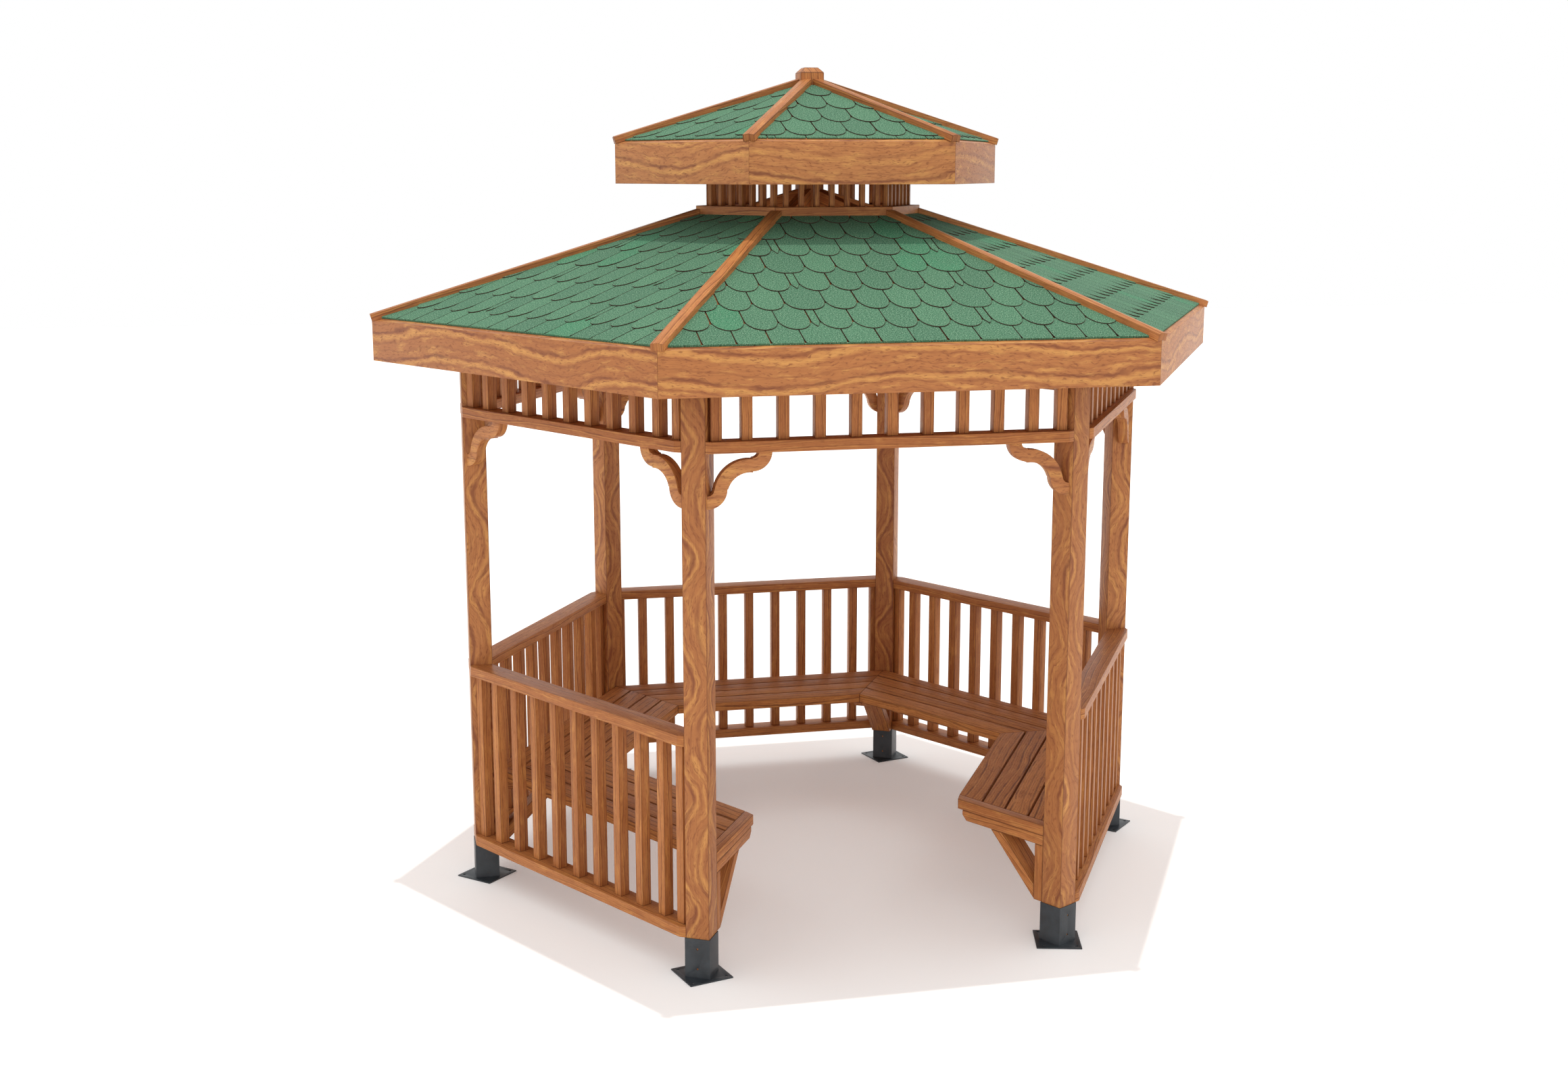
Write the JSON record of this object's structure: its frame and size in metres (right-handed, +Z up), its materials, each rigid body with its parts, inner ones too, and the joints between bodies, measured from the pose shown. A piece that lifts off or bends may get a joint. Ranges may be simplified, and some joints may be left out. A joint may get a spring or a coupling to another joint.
{
  "type": "garden gazebo",
  "caption": "Hexagonal timber garden gazebo with railings, built-in benches, a shingled roof and a small slatted cupola.",
  "frame": {"origin": "middle of the hexagon on the ground", "axes": "+Z up, the open entrance faces -Y, +X to the right of someone looking in from the entrance"},
  "size_m": [3.5338, 3.081, 3.2926],
  "materials": {
    "post_wood": "satin varnish",
    "rail_wood": "satin varnish",
    "bench_wood": "satin varnish",
    "fascia_wood": "satin varnish",
    "roof_wood": "satin varnish",
    "roof_shingles": "matt mineral granules on boards",
    "steel_feet": "satin powder coat"
  },
  "bodies": {
    "root": {"post_front_left": "post_wood", "post_front_right": "post_wood", "post_right": "post_wood", "post_back_right": "post_wood", "post_back_left": "post_wood", "post_left": "post_wood", "foot_front_left": "steel_feet", "foot_front_right": "steel_feet", "foot_right": "steel_feet", "foot_back_right": "steel_feet", "foot_back_left": "steel_feet", "foot_left": "steel_feet", "railing_front_right": "rail_wood", "railing_back_right": "rail_wood", "railing_back": "rail_wood", "railing_back_left": "rail_wood", "railing_front_left": "rail_wood", "frieze_front": "rail_wood", "frieze_front_right": "rail_wood", "frieze_back_right": "rail_wood", "frieze_back": "rail_wood", "frieze_back_left": "rail_wood", "frieze_front_left": "rail_wood", "corner_brackets": "rail_wood", "seat_front_right": "bench_wood", "seat_back_right": "bench_wood", "seat_back": "bench_wood", "seat_back_left": "bench_wood", "seat_front_left": "bench_wood", "seat_end_boards": "bench_wood", "bench_beams": "bench_wood", "bench_cleats": "bench_wood", "bench_braces": "bench_wood", "lower_rafters": "roof_wood", "lower_deck": "roof_shingles", "lower_fascia": "fascia_wood", "lower_hip_caps": "roof_wood", "collar_ring": "roof_wood", "lantern_slats": "roof_wood", "lantern_plate": "roof_wood", "king_post": "roof_wood", "upper_rafters": "roof_wood", "upper_deck": "roof_shingles", "upper_fascia": "fascia_wood", "upper_hip_caps": "roof_wood"}
  },
  "joints": []
}
